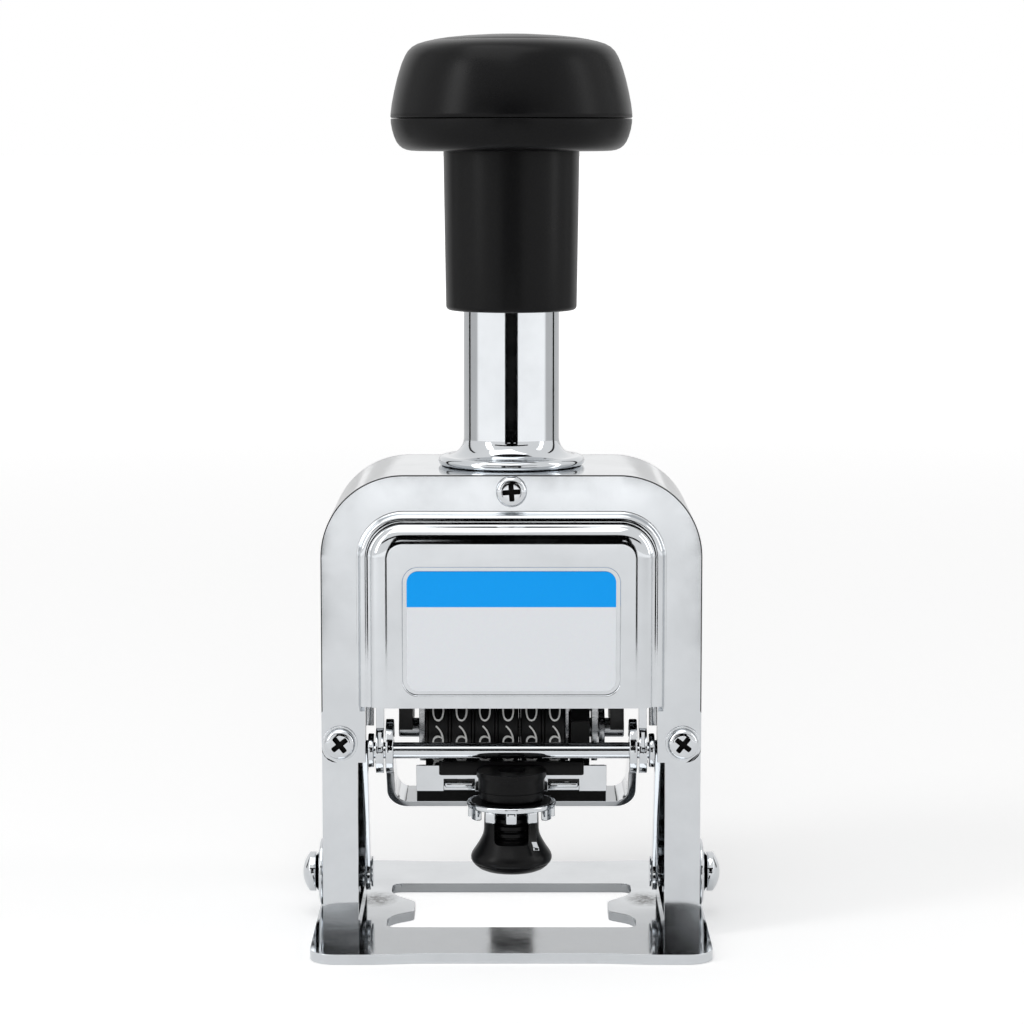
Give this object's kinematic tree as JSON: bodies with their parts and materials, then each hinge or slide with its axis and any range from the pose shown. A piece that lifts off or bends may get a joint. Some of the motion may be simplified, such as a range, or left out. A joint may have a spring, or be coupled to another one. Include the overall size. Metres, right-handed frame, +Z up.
{
  "type": "numbering machine",
  "caption": "Hand numbering machine: mushroom knob over a guide tube, arched chromed housing on a windowed base plate, digit wheels and an ink pad that swings clear.",
  "frame": {"origin": "middle of the underside of the base plate", "axes": "+Z up along the plunger, -Y towards the front with the label panel, +X to the right seen from the front"},
  "size_m": [0.0656, 0.062, 0.1374],
  "materials": {
    "chrome": "bright chromed steel",
    "grey_steel": "satin grey steel",
    "black_plastic": "satin black moulded plastic",
    "black_metal": "black finished metal",
    "label": "printed in blue and pale grey, bare of words",
    "felt": "ink-soaked felt",
    "spring_steel": "plain spring steel"
  },
  "bodies": {
    "frame": {"base_plate": "chrome", "foot_screws": "chrome", "outer_frame": "chrome", "front_cover": "chrome", "back_cover": "chrome", "label_plate": "label", "front_cover_screws": "chrome", "back_cover_screws": "chrome", "front_screw_washers": "chrome", "back_screw_washers": "chrome", "guide_tube": "chrome", "tube_nut": "chrome", "rod_bush": "grey_steel", "return_spring": "spring_steel", "rear_cross_rod": "chrome", "pad_hanger_left": "chrome", "pad_hanger_right": "chrome", "hanger_rivets": "chrome", "side_stud_left": "chrome", "side_stud_right": "chrome", "side_disc_left": "chrome", "side_disc_right": "chrome"},
    "head": {"handle_sleeve": "black_plastic", "knob_base": "black_plastic", "knob_cap": "black_plastic", "plunger_rod": "grey_steel", "rod_locknut": "grey_steel", "head_yoke": "black_metal", "head_plate_left": "grey_steel", "head_plate_right": "grey_steel", "head_plate_inner": "grey_steel", "tie_rod_front": "grey_steel", "tie_rod_back": "grey_steel", "wheel_shaft": "grey_steel", "wheel_spacers": "grey_steel", "detent_comb": "spring_steel"},
    "wheel_1": {"digit_wheel_1": "black_metal"},
    "wheel_2": {"digit_wheel_2": "black_metal"},
    "wheel_3": {"digit_wheel_3": "black_metal"},
    "wheel_4": {"digit_wheel_4": "black_metal"},
    "wheel_5": {"digit_wheel_5": "black_metal"},
    "wheel_6": {"digit_wheel_6": "black_metal", "ratchet_wheel": "black_metal"},
    "advance": {"advance_arm": "grey_steel", "advance_pawl": "grey_steel"},
    "pad_carriage": {"pad_axle": "chrome", "pad_bracket": "chrome", "crank_left": "chrome", "crank_right": "chrome", "pad_tray": "chrome", "ink_pad": "felt", "pad_case": "black_plastic"},
    "pad_grip": {"pad_knob": "black_plastic", "lock_ring": "chrome", "knob_latch": "black_metal"},
    "lever_left": {"side_lever_left": "chrome"},
    "lever_right": {"side_lever_right": "chrome"}
  },
  "joints": [
    {"name": "plunger_slide", "type": "slide", "parent": "frame", "child": "head", "axis": [0, 0, -1], "range_m": [0, 0.0215], "stiffness_N_per_m": 150, "springref_m": -0.05, "deforming": ["return_spring"]},
    {"name": "pad_swing", "type": "hinge", "parent": "frame", "child": "pad_carriage", "pos_m": [0, -0.0134, 0.02885], "axis": [-1, 0, 0], "range_deg": [0, 86]},
    {"name": "lever_left_rock", "type": "hinge", "parent": "frame", "child": "lever_left", "pos_m": [-0.0227, 0, 0.0069], "axis": [1, 0, 0], "range_deg": [0, 15.59]},
    {"name": "lever_right_rock", "type": "hinge", "parent": "frame", "child": "lever_right", "pos_m": [0.0227, 0, 0.0069], "axis": [1, 0, 0], "range_deg": [0, 15.59]},
    {"name": "advance_rock", "type": "hinge", "parent": "head", "child": "advance", "pos_m": [0.0141, 0, 0.0299], "axis": [1, 0, 0], "range_deg": [0, 36]},
    {"name": "pad_grip_twist", "type": "hinge", "parent": "pad_carriage", "child": "pad_grip", "pos_m": [0, -0.0155, 0.0216], "axis": [0, 0, 1], "range_deg": [0, 90]},
    {"name": "wheel_1_spin", "type": "hinge", "parent": "head", "child": "wheel_1", "pos_m": [-0.0113, 0, 0.0299], "axis": [1, 0, 0], "continuous": true},
    {"name": "wheel_2_spin", "type": "hinge", "parent": "head", "child": "wheel_2", "pos_m": [-0.0077, 0, 0.0299], "axis": [1, 0, 0], "continuous": true},
    {"name": "wheel_3_spin", "type": "hinge", "parent": "head", "child": "wheel_3", "pos_m": [-0.0041, 0, 0.0299], "axis": [1, 0, 0], "continuous": true},
    {"name": "wheel_4_spin", "type": "hinge", "parent": "head", "child": "wheel_4", "pos_m": [-0.0005, 0, 0.0299], "axis": [1, 0, 0], "continuous": true},
    {"name": "wheel_5_spin", "type": "hinge", "parent": "head", "child": "wheel_5", "pos_m": [0.0031, 0, 0.0299], "axis": [1, 0, 0], "continuous": true},
    {"name": "wheel_6_spin", "type": "hinge", "parent": "head", "child": "wheel_6", "pos_m": [0.0067, 0, 0.0299], "axis": [1, 0, 0], "continuous": true}
  ],
  "couplings": [
    {"joint": "pad_swing", "follows": "plunger_slide", "rad_per_m": 69.806},
    {"joint": "lever_left_rock", "follows": "plunger_slide", "rad_per_m": 12.654},
    {"joint": "lever_right_rock", "follows": "plunger_slide", "rad_per_m": 12.654},
    {"joint": "advance_rock", "follows": "plunger_slide", "rad_per_m": 29.221}
  ]
}
